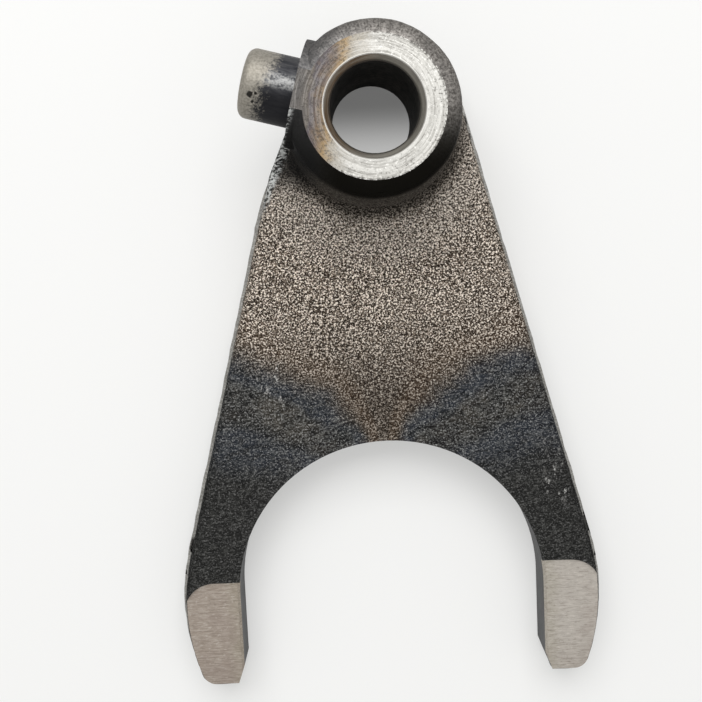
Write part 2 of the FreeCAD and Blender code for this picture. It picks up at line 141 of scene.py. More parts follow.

# Colours of the turned boss faces, their temper colours, the bore's chamfer and its painted
# highlight and shade.
RING_PALE = (0.62, 0.61, 0.58)
RING_DARK = (0.16, 0.15, 0.135)
TURNED_SCUFF = (0.10, 0.095, 0.085)
TURNED_GLINT = (0.85, 0.84, 0.81)
TURNED_NICK = (0.06, 0.055, 0.05)
TEMPER_STOPS = (
    (0.0, (0.32, 0.29, 0.24)),
    (0.2, (0.27, 0.19, 0.10)),
    (0.45, (0.12, 0.088, 0.066)),
    (0.62, (0.075, 0.065, 0.074)),
    (0.75, (0.115, 0.10, 0.086)),
    (1.0, (0.085, 0.08, 0.077)),
)
TEMPER_RING = (0.34, 0.32, 0.30)
TEMPER_PIT = (0.03, 0.026, 0.022)
CHAMFER_GREY = (0.16, 0.15, 0.13)
CHAMFER_BROWN = (0.13, 0.085, 0.05)
CHAMFER_RING = (0.34, 0.32, 0.28)
CHAMFER_PAINTED_HIGHLIGHT = (0.68, 0.67, 0.64)
CHAMFER_PAINTED_SHADE = (0.03, 0.027, 0.023)

# Pin colours with painted highlight and shade; along it, across it and size of its black spots, in
# millimetres.
PIN_DARK = (0.024, 0.025, 0.030)
PIN_MOTTLE = (0.075, 0.075, 0.08)
PIN_PAINTED_SHADE = (0.009, 0.009, 0.011)
PIN_PAINTED_HIGHLIGHT = (0.33, 0.33, 0.325)
PIN_GROUND_DARK = (0.21, 0.195, 0.165)
PIN_GROUND_PALE = (0.30, 0.28, 0.245)
PIN_SPOT = (0.008, 0.007, 0.006)
PIN_SPOTS = ((13.9, -1.55, 0.42), (13.3, -1.3, 0.22), (13.5, -2.3, 0.2))

# Surfaces of plain metal: sizes and depths are in millimetres.
PLAIN_METALS = {
    "bore": {"name": "bore_wall", "colour": (0.03, 0.028, 0.025), "speck": (0.21, 0.195, 0.175),
             "size": 0.7, "roughness": 0.4, "depth": 0.02, "metallic": 0.9, "edge": 0.2},
    "wall": {"name": "mouth_wall", "colour": (0.031, 0.032, 0.034), "speck": (0.09, 0.09, 0.088),
             "size": 0.3, "roughness": 0.45, "depth": 0.02, "metallic": 0.92,
             "stretch": (1.0, 0.25, 1.0)},
    "lug": {"name": "lug_face", "colour": (0.10, 0.093, 0.085), "speck": (0.24, 0.225, 0.20),
            "size": 0.25, "roughness": 0.45, "depth": 0.03, "metallic": 0.9,
            "stretch": (1.0, 1.0, 0.4)},
    "flash": {"name": "flash_edge", "colour": (0.22, 0.215, 0.20), "speck": (0.52, 0.51, 0.485),
              "size": 0.22, "roughness": 0.45, "depth": 0.05, "metallic": 0.85,
              "stretch": (1.0, 1.0, 0.2)},
    "cut": {"name": "trimmed_side", "colour": (0.075, 0.073, 0.07), "speck": (0.33, 0.325, 0.31),
            "size": 0.3, "roughness": 0.45, "depth": 0.06, "metallic": 0.85,
            "stretch": (1.0, 1.0, 0.3)},
}

# Stage, in metres, with the floor's white by the distance from the bore's axis, in millimetres.
FLOOR_HALF = 3.0
WHITE_FROM = 130.0
WHITE_ALL = 420.0
SHADE_FROM = 9.0
SHADE_ALL = 6.5
LAMP_SIZE = (0.5, 0.35)
LAMP_PLACE = (-0.05, 0.3, 0.42)
LAMP_AIM = (0.0, -0.035, 0.0)
WHITE = (1.0, 1.0, 0.99, 1.0)
FLOOR_WHITE_STRENGTH = 0.97

# Camera, fitted to the bore, the boss, the mouth and the flanks.
CAMERA_PLACE = Vector((-0.003622, -0.013558, 0.140653))
CAMERA_RIGHT = Vector((0.99893, -0.04622, 0.00305))
CAMERA_FORWARD = Vector((-0.0021, -0.11098, -0.99382))
CAMERA_LENS = 54.525
CAMERA_SENSOR = 36.0


class Value:
    """Socket in an expression: operators with numbers and other sockets add Math nodes."""

    def __init__(self, nodes, socket):
        self.nodes = nodes
        self.socket = socket

    def maths(self, operation, *operands, clamp=False):
        return self.nodes.add("ShaderNodeMath", {"operation": operation, "use_clamp": clamp},
                              dict(enumerate(operands)))

    def __add__(self, other):
        return self.maths("ADD", self, other)

    def __radd__(self, other):
        return self.maths("ADD", other, self)

    def __sub__(self, other):
        return self.maths("SUBTRACT", self, other)

    def __rsub__(self, other):
        return self.maths("SUBTRACT", other, self)

    def __mul__(self, other):
        return self.maths("MULTIPLY", self, other)

    def __rmul__(self, other):
        return self.maths("MULTIPLY", other, self)

    def __pow__(self, other):
        return self.maths("POWER", self, other)

    def __abs__(self):
        return self.maths("ABSOLUTE", self)

    def most(self, other):
        return self.maths("MAXIMUM", self, other)

    def clamped(self):
        return self.maths("ADD", self, 0.0, clamp=True)

    def step(self, low, high):
        """0 below low, 1 above high and smooth between them; low may be the larger one."""
        return self.nodes.add("ShaderNodeMapRange", {"interpolation_type": "SMOOTHSTEP"},
                              {"Value": self, "From Min": low, "From Max": high})

    def band(self, low, full, fading, high):
        """1 between full and fading, and smooth from there to 0 at low and at high."""
        return self.step(low, full) * (1.0 - self.step(fading, high))


class Nodes:
    """Adds the nodes of one material or world."""

    def __init__(self, tree):
        self.tree = tree
        tree.nodes.clear()

    def add(self, kind, settings=None, inputs=None, output=0):
        """Node of a type: settings are set first, then the values or links of its sockets."""
        node = self.tree.nodes.new(kind)
        for name, value in (settings or {}).items():
            if name == "stops":
                self.set_stops(node.color_ramp, value)
            else:
                setattr(node, name, value)
        for key, value in (inputs or {}).items():
            if isinstance(value, Value):
                self.tree.links.new(value.socket, node.inputs[key])
            else:
                node.inputs[key].default_value = value
        return Value(self, node.outputs[output])

    def set_stops(self, ramp, stops):
        while len(ramp.elements) < len(stops):
            ramp.elements.new(0.5)
        for element, (place, colour) in zip(ramp.elements, stops):
            element.position = place
            element.color = (*colour, 1.0)

    def mix(self, factor, first, second):
        """Colour between two colours."""
        first, second = (c if isinstance(c, Value) else (*c, 1.0) for c in (first, second))
        return self.add("ShaderNodeMix", {"data_type": "RGBA", "blend_type": "MIX"},
                        {0: factor, 6: first, 7: second}, output=2)

    def ramp(self, factor, stops):
        return self.add("ShaderNodeValToRGB", {"stops": stops}, {"Fac": factor})

    def place(self):
        """Object coordinates."""
        return self.add("ShaderNodeTexCoord", output="Object")

    def axes(self, vector, count=3):
        """X and Y of a place, and Z if the count is 3, in millimetres."""
        return [self.add("ShaderNodeSeparateXYZ", None, {0: vector}, output=i) * (1 / MM)
                for i in range(count)]

    def noise(self, vector, size, detail=4.0, roughness=0.5, distortion=0.0):
        """Noise whose largest lumps are about size millimetres across."""
        return self.add("ShaderNodeTexNoise", {"noise_dimensions": "3D"},
                        {"Vector": vector, "Scale": 1 / (size * MM), "Detail": detail,
                         "Roughness": roughness, "Distortion": distortion})

    def stretched(self, vector, scale, turn=0.0):
        """Place scaled along X, Y and Z after a turn about Z."""
        return self.add("ShaderNodeMapping", {"vector_type": "TEXTURE"},
                        {"Vector": vector, "Rotation": (0.0, 0.0, turn),
                         "Scale": tuple(1 / s for s in scale)})

    def bump(self, height, depth):
        """Normal of a relief; depth is in millimetres."""
        return self.add("ShaderNodeBump", None,
                        {"Height": height, "Distance": depth * MM, "Strength": 1.0})

    def seen(self):
        """1 for rays from the camera, off a shine or through glass, and 0 for the others."""
        camera = self.add("ShaderNodeLightPath", output="Is Camera Ray")
        glossy = self.add("ShaderNodeLightPath", output="Is Glossy Ray")
        through = self.add("ShaderNodeLightPath", output="Is Transmission Ray")
        return (camera + glossy + through).clamped()

    def shader(self, colour, roughness, normal, metallic, edge=1.0):
        """Principled shader; edge is how bright metal stays where it is seen aslant."""
        return self.add("ShaderNodeBsdfPrincipled", None,
                        {"Base Color": colour, "Roughness": roughness, "Normal": normal,
                         "Metallic": metallic, "Specular Tint": (edge, edge, edge, 1.0)})

    def finish(self, colour, roughness, normal, metallic, edge=1.0):
        self.add_output("ShaderNodeOutputMaterial",
                        self.shader(colour, roughness, normal, metallic, edge))

    def add_output(self, kind, shader):
        node = self.tree.nodes.new(kind)
        self.tree.links.new(shader.socket, node.inputs["Surface"])


def new_material(name):
    """Empty material and its nodes."""
    material = bpy.data.materials.new(name)
    material.use_nodes = True
    return material, Nodes(material.node_tree)


def off_axis(x, y):
    """Distance from the bore's axis."""
    return (x * x + y * y) ** 0.5


class Skin:
    """Places, in millimetres, and noises that the parts of the forging skin share."""

    def __init__(self, nodes):
        self.place = nodes.place()
        self.x, self.y, self.z = nodes.axes(self.place)
        self.radius = off_axis(self.x, self.y)

        self.fine = nodes.noise(self.place, 0.30, detail=3.0, roughness=0.7)
        self.streaks = nodes.noise(nodes.stretched(self.place, (0.5, 1.0, 1.0), turn=0.12), 0.30,
                                   detail=3.0, roughness=0.7, distortion=0.5)
        self.blotch = nodes.noise(self.place, 6.0, detail=4.0, roughness=0.62)
        self.lumps = nodes.noise(self.place, 1.7, detail=3.0, roughness=0.55)
        self.glint = nodes.noise(self.place, 0.22, detail=3.0, roughness=0.75)
        self.crinkle = nodes.noise(nodes.stretched(self.place, (0.45, 1.0, 1.0), turn=0.2), 0.9,
                                   detail=3.0, roughness=0.6, distortion=0.8)

        # The heat tint has a lobe on each side, and a V of brown reaches down between them.
        wander = (nodes.noise(self.place, 8.0, detail=3.0, roughness=0.6) - 0.5) * 6.0
        sideways = abs(self.x - TINT_MIDDLE_X).most(0.05)
        lobes = (sideways ** TINT_POWER) * TINT_RISE + TINT_FOOT_Y
        self.below_edge = lobes - self.y + wander
        self.tint = self.below_edge.step(-2.5, 3.0)
        self.grain = self.fine * (1.0 - self.tint) + self.streaks * self.tint


def brown_skin(nodes, skin, colours):
    """Blasted brown-grey web: pale grains and glints among dark pits, rusty by the heat tint."""
    near_mouth = skin.y.step(-21.0, -37.0)
    rust = skin.below_edge.band(-7.0, -2.5, -1.5, 2.5)
    round_boss = skin.radius.step(20.0, 14.0)
    colour = nodes.mix(skin.grain.step(0.40, 0.64), colours.skin_dark, colours.skin_pale)
    colour = nodes.mix(skin.blotch.step(0.40, 0.66) * 0.3, colour, SKIN_MOTTLE)
    colour = nodes.mix(near_mouth * 0.75, colour, SKIN_BY_MOUTH)
    colour = nodes.mix(rust * 0.5, colour, SKIN_RUST)
    glints = skin.glint.step(0.525, 0.595) * (0.9 - near_mouth * 0.6)
    colour = nodes.mix(glints, colour, SKIN_GLINT)
    colour = nodes.mix(skin.glint.step(0.49, 0.43) * 0.92, colour, SKIN_PIT)
    return nodes.mix(round_boss * 0.4 * skin.glint.step(0.42, 0.58), colour, SKIN_ROUND_BOSS)


def tinted_skin(nodes, skin, colours):
    """Heat-tinted claws: blue-black and creased, with olive between two bands of blue."""
    olive = skin.below_edge.band(3.0, 5.5, 7.0, 10.0)
    blue = skin.below_edge.band(-0.5, 1.5, 3.0, 5.0) + skin.below_edge.band(8.0, 11.0, 13.0, 18.0)
    colour = nodes.mix(skin.grain.step(0.44, 0.64), colours.tint_dark, colours.tint_pale)
    colour = nodes.mix(blue * skin.blotch.step(0.25, 0.6) * 0.38, colour, TINT_BLUE)
    colour = nodes.mix(olive * skin.blotch.step(0.35, 0.65) * 0.4, colour, TINT_OLIVE)
    colour = nodes.mix(skin.crinkle.step(0.5, 0.36) * 0.65, colour, TINT_PIT)
    colour = nodes.mix(skin.glint.step(0.54, 0.63) * 0.38, colour, TINT_GLINT)
    return nodes.mix(skin.glint.step(0.47, 0.40) * 0.5, colour, TINT_PIT)


def add_nicks(nodes, skin, colour):
    """Bright nicks at the left lobe and by the right flank."""
    at_lobe = skin.x.band(-17.5, -15.5, -13.0, -11.5) * skin.y.band(-38.5, -36.0, -30.5, -28.0)
    by_flank = skin.x.step(19.5, 21.0) * skin.y.band(-50.0, -47.5, -42.0, -40.0)
    nicks = nodes.noise(nodes.stretched(skin.place, (1.0, 0.4, 1.0)), 0.8,
                        detail=3.0, roughness=0.7).step(0.58, 0.66)
    share = (at_lobe + by_flank) * nicks * skin.glint.step(0.38, 0.58) * 0.62
    return nodes.mix(share, colour, NICK)


def boss_share(skin):
    """Where the boss's finish lies: all over it behind, and above its foot on the web's side."""
    height = (skin.z + skin.radius * 0.15 + (skin.blotch - 0.5) * 4.0 + (skin.glint - 0.5) * 8.0
              - skin.y.step(-1.0, -7.0) * 11.5)
    above_foot = height.step(7.0, 10.6)
    rear = skin.y.step(-1.0, 5.0)
    return skin.radius.step(13.8, 11.4) * (above_foot + rear - above_foot * rear)


def boss_wall(nodes, skin):
    """Smoother grey wall with streaks up it, bluish by the pin and nearly black with painted shade
    on the web's side.
    """
    outwards = nodes.add("ShaderNodeCombineXYZ", None, {0: skin.x, 1: skin.y})
    around = nodes.add("ShaderNodeVectorMath", {"operation": "NORMALIZE"}, {0: outwards})
    drawn = nodes.noise(around, 22.0, detail=3.0, roughness=0.65)
    grain = drawn * 0.32 + skin.fine * 0.68
    # Painted shade: the web's side of the boss goes nearly black, less so on the pin's side.
    painted_shade = skin.y.step(0.5, -7.0) * (1.0 - skin.x.step(-4.0, -8.0) * 0.55)
    colour = nodes.mix(grain.step(0.34, 0.66), BOSS_DARK, BOSS_PALE)
    colour = nodes.mix(skin.lumps.step(0.45, 0.7) * 0.35, colour, BOSS_LUMP)
    colour = nodes.mix(skin.x.step(1.0, -8.0) * 0.65, colour, BOSS_BLUE)
    return nodes.mix(painted_shade * 0.96, colour, BOSS_PAINTED_SHADE)


def add_foot_shade(nodes, skin, colour):
    """Painted shade, nearly black, at the boss's foot on the web's side, with a few pale specks."""
    foot = (skin.radius + (skin.blotch - 0.5) * 3.0).step(13.4, 10.8) * skin.y.step(2.0, -5.0)
    specks = foot * skin.radius.step(9.8, 11.4) * skin.glint.step(0.51, 0.59)
    colour = nodes.mix(foot * 0.8, colour, FOOT_PAINTED_SHADE)
    return nodes.mix(specks * 0.2, colour, FOOT_SPECK)


def add_shadow_lines(nodes, skin, colour):
    """Painted shade: a dark hollow under the lug and a dark line above the flash."""
    beside_lug = skin.x.step(-5.5, -7.5) * skin.y.step(3.5, 1.5) * skin.y.step(-9.5, -5.5)
    colour = nodes.mix(beside_lug * skin.z.step(5.0, 7.2) * 0.85, colour, UNDER_LUG_SHADE)
    return nodes.mix(skin.z.step(5.9, 4.6) * skin.z.step(3.6, 3.9) * 0.8, colour, ABOVE_FLASH_SHADE)


def add_torn_edge(nodes, skin, colour):
    """Torn, glittering upper edge of the trimmed side."""
    inside = TRIM_REACH + skin.x * math.cos(TRIM_ANGLE) - skin.y * math.sin(TRIM_ANGLE)
    beside_boss = skin.y.step(1.5, -0.5) * skin.y.step(-13.0, -9.0)
    torn = inside.step(1.5, 0.7) * beside_boss * skin.z.step(4.5, 5.5)
    shards = nodes.mix(skin.streaks.step(0.44, 0.58), SHARD_DARK, SHARD_PALE)
    return nodes.mix(torn * 0.9, colour, shards)


def skin_material(colours):
    """Forging skin: brown-grey web, heat-tinted blue-black claws and a smoother grey boss."""
    material, nodes = new_material("forged_skin")
    skin = Skin(nodes)
    on_boss = boss_share(skin)

    colour = nodes.mix(skin.tint, brown_skin(nodes, skin, colours),
                       tinted_skin(nodes, skin, colours))
    colour = nodes.mix(skin.below_edge.step(10.0, 20.0) * 0.55, colour, TINT_LOW)
    colour = add_nicks(nodes, skin, colour)
    colour = nodes.mix(on_boss, colour, boss_wall(nodes, skin))
    # Painted shade at the boss's foot.
    colour = add_foot_shade(nodes, skin, colour)
    colour = add_shadow_lines(nodes, skin, colour)
    colour = add_torn_edge(nodes, skin, colour)

    creases = skin.crinkle * skin.tint * 2.0
    height = skin.grain * 0.8 * (1.0 - on_boss * 0.6) + skin.lumps * 0.9 + creases
    matt_foot = skin.y.step(-2.5, -6.0) * skin.radius.step(13.0, 11.0) * 0.35
    roughness = 0.5 + skin.grain * 0.2 - on_boss * 0.1 + matt_foot
    nodes.finish(colour, roughness, nodes.bump(height, 0.14), 0.88, edge=0.35)
    return material


def milled_material(colours):
    """Milled faces of the claws, with fine straight tool marks across the claw."""
    material, nodes = new_material("milled_face")
    place = nodes.place()
    x, y = nodes.axes(place, 2)
    lines = nodes.noise(nodes.stretched(place, (0.12, 1.0, 1.0)), 0.18, detail=4.0, roughness=0.75)
    specks = nodes.noise(nodes.stretched(place, (0.5, 1.0, 1.0)), 0.30, detail=3.0, roughness=0.7)
    broad = nodes.noise(nodes.stretched(place, (0.1, 1.0, 1.0)), 1.2, detail=2.0)
    cloud = nodes.noise(place, 4.0, detail=3.0)

    right = x.step(-5.0, 5.0)
    toward_tip = y.step(-66.0, -72.0)
    by_mouth = (abs(x) + (broad - 0.5) * 2.0).step(22.2, 20.4)
    colour = nodes.mix(right, colours.left_face, colours.right_face)
    colour = nodes.mix(toward_tip * 0.25, colour, MILLED_TIP)
    colour = nodes.mix(by_mouth * 0.35, colour, MILLED_OLIVE)
    colour = nodes.mix(lines.step(0.40, 0.66) * 0.38, colour, MILLED_LINE_PALE)
    colour = nodes.mix(lines.step(0.50, 0.34) * 0.4, colour, MILLED_LINE_DARK)
    colour = nodes.mix(specks.step(0.58, 0.66) * 0.25, colour, MILLED_SPECK_PALE)
    colour = nodes.mix(specks.step(0.42, 0.34) * 0.3, colour, MILLED_SPECK_DARK)
    colour = nodes.mix(cloud.step(0.45, 0.7) * 0.3, colour, MILLED_CLOUD)

    normal = nodes.bump(lines * 0.6 + broad * 0.8 + specks * 0.4, 0.02)
    nodes.finish(colour, 0.42 + cloud * 0.12, normal, 0.9)
    return material


def turned_material(colours):
    """Turned faces of the boss, with rings round the bore and temper colours by the pin."""
    material, nodes = new_material("turned_face")
    place = nodes.place()
    x, y = nodes.axes(place, 2)
    radius = off_axis(x, y)
    # The rings' noise runs fast outwards and slowly round the bore.
    ring_place = nodes.add("ShaderNodeCombineXYZ", None,
                           {0: radius * MM, 1: x * (0.05 * MM), 2: y * (0.05 * MM)})
    rings = nodes.noise(ring_place, 0.24, detail=4.0, roughness=0.75)
    specks = nodes.noise(place, 0.28, detail=3.0, roughness=0.7)
    cloud = nodes.noise(place, 2.5, detail=4.0, roughness=0.6)
    heat = (x * 1.0 - y * 0.25) + (cloud - 0.5) * 4.0

    colour = nodes.mix(rings.step(0.42, 0.6) * 0.7, colours.turned, RING_PALE)
    colour = nodes.mix(rings.step(0.46, 0.34) * 0.6, colour, RING_DARK)
    # Scuffs, most by the rim, and nicks at the rim itself.
    scuffed = (radius + (cloud - 0.5) * 4.0).step(6.2, 7.8) * 0.5 + 0.35
    nicked = radius.step(7.7, 8.0) * specks.step(0.46, 0.52)
    colour = nodes.mix(specks.step(0.57, 0.66) * scuffed, colour, TURNED_SCUFF)
    colour = nodes.mix(specks.step(0.42, 0.34) * 0.5, colour, TURNED_GLINT)
    colour = nodes.mix(nicked * 0.85, colour, TURNED_NICK)
    # Temper colours spread from the pin's side.
    tempered = nodes.ramp(heat.step(-3.0, -9.5), TEMPER_STOPS)
    tempered = nodes.mix(rings.step(0.44, 0.62) * 0.35, tempered, TEMPER_RING)
    tempered = nodes.mix(specks.step(0.48, 0.40) * 0.6, tempered, TEMPER_PIT)
    colour = nodes.mix(heat.step(-1.0, -4.6) * 0.97, colour, tempered)
    # The bore's chamfer is browner, between a painted highlight along its rim and a line of painted
    # shade at the bore.
    brown = nodes.mix(heat.step(1.0, -4.0), CHAMFER_GREY, CHAMFER_BROWN)
    brown = nodes.mix(rings.step(0.4, 0.6) * 0.4, brown, CHAMFER_RING)
    colour = nodes.mix(radius.step(5.85, 5.70), colour, brown)
    painted_highlight_line = radius.step(5.60, 5.68) * radius.step(5.86, 5.78)
    colour = nodes.mix(painted_highlight_line * 0.7, colour, CHAMFER_PAINTED_HIGHLIGHT)
    colour = nodes.mix(radius.step(5.22, 5.08) * 0.8, colour, CHAMFER_PAINTED_SHADE)

    normal = nodes.bump(rings + specks * 0.4, 0.03)
    nodes.finish(colour, 0.46 + cloud * 0.12, normal, 0.9)
    return material


def pin_material():
    """Guide pin: ground bright at its end, mottled blue-black by the lug, painted highlight along
    its top, darkest with painted shade towards the claws.
    """
    material, nodes = new_material("guide_pin")
    place = nodes.place()
    x, y, z = nodes.axes(place)
    along = x * PIN_OUT.x + y * PIN_OUT.y
    across = x * PIN_OUT.y - y * PIN_OUT.x
    mottle = nodes.noise(place, 1.0, detail=5.0, roughness=0.7)
    fine = nodes.noise(place, 0.25, detail=3.0)
    drawn = nodes.noise(nodes.stretched(place, (0.25, 1.0, 1.0), turn=-PIN_ANGLE), 0.5,
                        detail=4.0, roughness=0.65)

    # The ground end's edge is ragged, and lies further in on the side away from the claws.
    ragged = (mottle - 0.5) * 3.0 + (fine - 0.5) * 2.0
    ground = (along + ragged + across.step(-2.0, 3.5) * 1.2).step(12.3, 14.0)
    # Painted highlight: a band along the top of the pin, broken up by its drawn marks.
    painted_highlight = across.step(-0.6, 0.3) * across.step(1.8, 0.8)
    painted_highlight = painted_highlight * (drawn * 0.5 + fine * 0.5).step(0.36, 0.60)
    dark = nodes.mix(drawn.step(0.32, 0.72), PIN_DARK, PIN_MOTTLE)
    # Painted shade along the pin's flank towards the claws.
    dark = nodes.mix(across.step(0.6, -1.6) * 0.85, dark, PIN_PAINTED_SHADE)
    dark = nodes.mix(painted_highlight * 0.85, dark, PIN_PAINTED_HIGHLIGHT)
    bright = nodes.mix(fine.step(0.3, 0.7), PIN_GROUND_DARK, PIN_GROUND_PALE)
    colour = nodes.mix(ground, dark, bright)
    on_top = z.step(PIN_Z, PIN_Z + 1.0)
    for spot_along, spot_across, size in PIN_SPOTS:
        off = ((along - spot_along) ** 2.0 + (across - spot_across) ** 2.0) ** 0.5
        spot = (off + (fine - 0.5) * 0.25).step(size, size * 0.6)
        colour = nodes.mix(spot * on_top * 0.95, colour, PIN_SPOT)

    normal = nodes.bump(fine + drawn * 0.5, 0.015)
    nodes.finish(colour, 0.48 + mottle * 0.15, normal, 0.85)
    return material


def plain_metal(name, colour, speck, size, roughness, depth, metallic,
                stretch=(1.0, 1.0, 1.0), edge=1.0):
    """Metal with a fine mottle and a shallow grain, drawn out where stretch is under 1."""
    material, nodes = new_material(name)
    place = nodes.stretched(nodes.place(), stretch)
    grain = nodes.noise(place, size, detail=4.0, roughness=0.6)
    cloud = nodes.noise(place, size * 8.0, detail=3.0)
    shade = nodes.mix(grain.step(0.4, 0.65) * 0.6, colour, speck)
    shade = nodes.mix(cloud.step(0.42, 0.62) * 0.25, shade, tuple(c * 0.5 for c in colour))
    nodes.finish(shade, roughness + cloud * 0.15, nodes.bump(grain, depth), metallic, edge)
    return material


def surface_of(face):
    """Name of the surface that a face of the solid belongs to, from its place and normal."""
    x, y, z = face.calc_center_median() / MM
    normal = face.normal
    steep = abs(normal.z) < STEEP
    upright = abs(normal.z) < NEAR
    radius = math.hypot(x, y)
    by_boss = radius < NEAR_BOSS
    along = x * PIN_OUT.x + y * PIN_OUT.y
    past_shoulder = by_boss and along > SHOULDER_REACH - NEAR
    off_pin = math.hypot(x * PIN_OUT.y - y * PIN_OUT.x, z - PIN_Z)
    mouth = math.hypot(x, y - MOUTH_CENTRE_Y) if y > MOUTH_CENTRE_Y else abs(x)
    off_parting = max(abs(vert.co.z / MM - PARTING_Z) for vert in face.verts)

    if past_shoulder and off_pin < PIN_RADIUS + NEAR:
        return "pin"
    if radius < BORE_RADIUS + NEAR and steep:
        return "bore"
    boss_end = min(abs(z - BOSS_TOP), abs(z)) < NEAR and abs(normal.z) > FLAT
    if by_boss and (boss_end or radius < CHAMFER_REACH):
        return "turned"
    if past_shoulder and z > WEB_TOP + NEAR:
        return "lug"
    if mouth < MOUTH_WALL_REACH and steep and y < MOUTH_WALL_Y:
        return "wall"
    claw_face = min(abs(z - CLAW_TOP), abs(z)) < NEAR and abs(normal.z) > LEVEL
    claw_edge = mouth < CLAW_EDGE_REACH and normal.z > STEEP
    if y < CLAWS_Y and (claw_face or claw_edge):
        return "milled"
    if off_parting < FLASH_HALF + NEAR and (abs(normal.z) > FLASH_LEVEL or upright):
        return "flash"
    if by_boss and x < TRIMMED_X and upright and normal.x < -STEEP:
        return "cut"
    return "skin"


def fine_copy(node, step):
    """Copy of a node's mesh with its doubles merged, cut along a grid of planes step apart."""
    bm = bmesh.new()
    bm.from_mesh(node.data)
    bmesh.ops.remove_doubles(bm, verts=bm.verts, dist=MERGE_DISTANCE)
    for face in bm.faces:
        face.material_index = SURFACES.index(surface_of(face))
        face.smooth = True
    low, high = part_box(NODE)
    for axis in range(3):
        normal = Vector((0.0, 0.0, 0.0))
        normal[axis] = 1.0
        for i in range(1, int((high[axis] - low[axis]) / step) + 1):
            bmesh.ops.bisect_plane(bm, geom=bm.verts[:] + bm.edges[:] + bm.faces[:],
                                   dist=CUT_DISTANCE, plane_co=normal * (low[axis] + i * step),
                                   plane_no=normal)
    bmesh.ops.triangulate(bm, faces=bm.faces)
    for edge in bm.edges:
        surfaces = {face.material_index for face in edge.link_faces}
        edge.smooth = len(surfaces) == 1 and edge.calc_face_angle(0.0) < SMOOTH_ANGLE
    return bm


def unevenness(place, layers):
    """Sum of noises of several widths and depths at a place, in millimetres."""
    return sum(noise.noise(place / width) * depth for width, depth in layers)


def roughen(bm, settings):
    """Make the forging skin wavy and the flash ragged; machined surfaces stay as they are."""
    bm.normal_update()
    moves = []
    for vert in bm.verts:
        surfaces = {SURFACES[face.material_index] for face in vert.link_faces}
        place = vert.co / MM
        if surfaces == {"skin"}:
            wave = unevenness(place, SKIN_WAVES) * settings.waviness
            moves.append((vert, vert.normal * (wave * MM)))
        elif "flash" in surfaces and abs(place.z - PARTING_Z) < FLASH_HALF + NEAR:
            tear = unevenness(place, FLASH_TEARS) * settings.raggedness
            outwards = Vector((vert.normal.x, vert.normal.y, 0.0))
            moves.append((vert, outwards * (tear * MM)))
    for vert, move in moves:
        vert.co += move


class ForkFinish(bpy.types.PropertyGroup):
    """Finish of the fork's surfaces."""

    skin_dark: FloatVectorProperty(
        name="Skin, Dark", description="Hollows of the forging skin by the boss",
        subtype="COLOR", size=3, min=0.0, max=1.0, default=(0.032, 0.024, 0.018))
    skin_pale: FloatVectorProperty(
        name="Skin, Pale", description="Grains of the forging skin by the boss",
        subtype="COLOR", size=3, min=0.0, max=1.0, default=(0.21, 0.165, 0.127))
    tint_dark: FloatVectorProperty(
        name="Tint, Dark", description="Hollows of the heat-tinted skin",
        subtype="COLOR", size=3, min=0.0, max=1.0, default=(0.011, 0.011, 0.011))
    tint_pale: FloatVectorProperty(
        name="Tint, Pale", description="Grains of the heat-tinted skin",
        subtype="COLOR", size=3, min=0.0, max=1.0, default=(0.10, 0.10, 0.095))
    left_face: FloatVectorProperty(
        name="Left Claw Face", description="Milled face of the left claw",
        subtype="COLOR", size=3, min=0.0, max=1.0, default=(0.285, 0.238, 0.199))
    right_face: FloatVectorProperty(
        name="Right Claw Face", description="Milled face of the right claw",
        subtype="COLOR", size=3, min=0.0, max=1.0, default=(0.395, 0.365, 0.33))
    turned: FloatVectorProperty(
        name="Turned Face", description="Faces round the bore",
        subtype="COLOR", size=3, min=0.0, max=1.0, default=(0.40, 0.39, 0.365))
    waviness: FloatProperty(
        name="Waviness", description="Depth of the skin's unevenness, relative to a plain forging",
        default=1.0, min=0.0, max=3.0)
    raggedness: FloatProperty(
        name="Raggedness",
        description="Depth of the tears in the trimmed flash, relative to a plain one",
        default=1.0, min=0.0, max=3.0)
    grid_step: FloatProperty(
        name="Mesh Step", description="Spacing of the cuts across the finished mesh",
        default=0.001, min=0.0005, max=0.005, unit="LENGTH", precision=5)


class StageSettings(bpy.types.PropertyGroup):
    """Floor, lamp and background."""

    floor: FloatVectorProperty(
        name="Floor", description="Colour of the floor",
        subtype="COLOR", size=3, min=0.0, max=1.0, default=(0.84, 0.84, 0.83))
    glow: FloatProperty(
        name="Floor Glow", description="Share of plain white in the floor that the camera sees",
        default=0.38, min=0.0, max=1.0)
    sky: FloatProperty(
        name="Sky", description="Strength of the even light from all round",
        default=0.6, min=0.0)
    key: FloatProperty(
        name="Key Lamp", description="Power of the soft lamp beyond the boss",
        default=2.2, min=0.0, unit="POWER")


class SHIFTFORK_OT_fork(bpy.types.Operator):
    """Build the finished fork over its solid"""

    bl_idname = "shiftfork.fork"
    bl_label = "Finish Fork"

    def execute(self, context):
        settings = context.scene.shift_fork_finish
        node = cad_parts[NODE]
        bm = fine_copy(node, settings.grid_step)
        roughen(bm, settings)
        mesh = bpy.data.meshes.new("fork_forging")
        bm.to_mesh(mesh)
        bm.free()
        piece = bpy.data.objects.new("fork_forging", mesh)
        context.scene.collection.objects.link(piece)
        materials = {surface: plain_metal(**metal) for surface, metal in PLAIN_METALS.items()}
        materials["skin"] = skin_material(settings)
        materials["milled"] = milled_material(settings)
        materials["turned"] = turned_material(settings)
        materials["pin"] = pin_material()
        for surface in SURFACES:
            mesh.materials.append(materials[surface])
        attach(piece, "root")
        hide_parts(NODE)
        print("fork_forging triangles:", len(mesh.polygons))
        return {"FINISHED"}


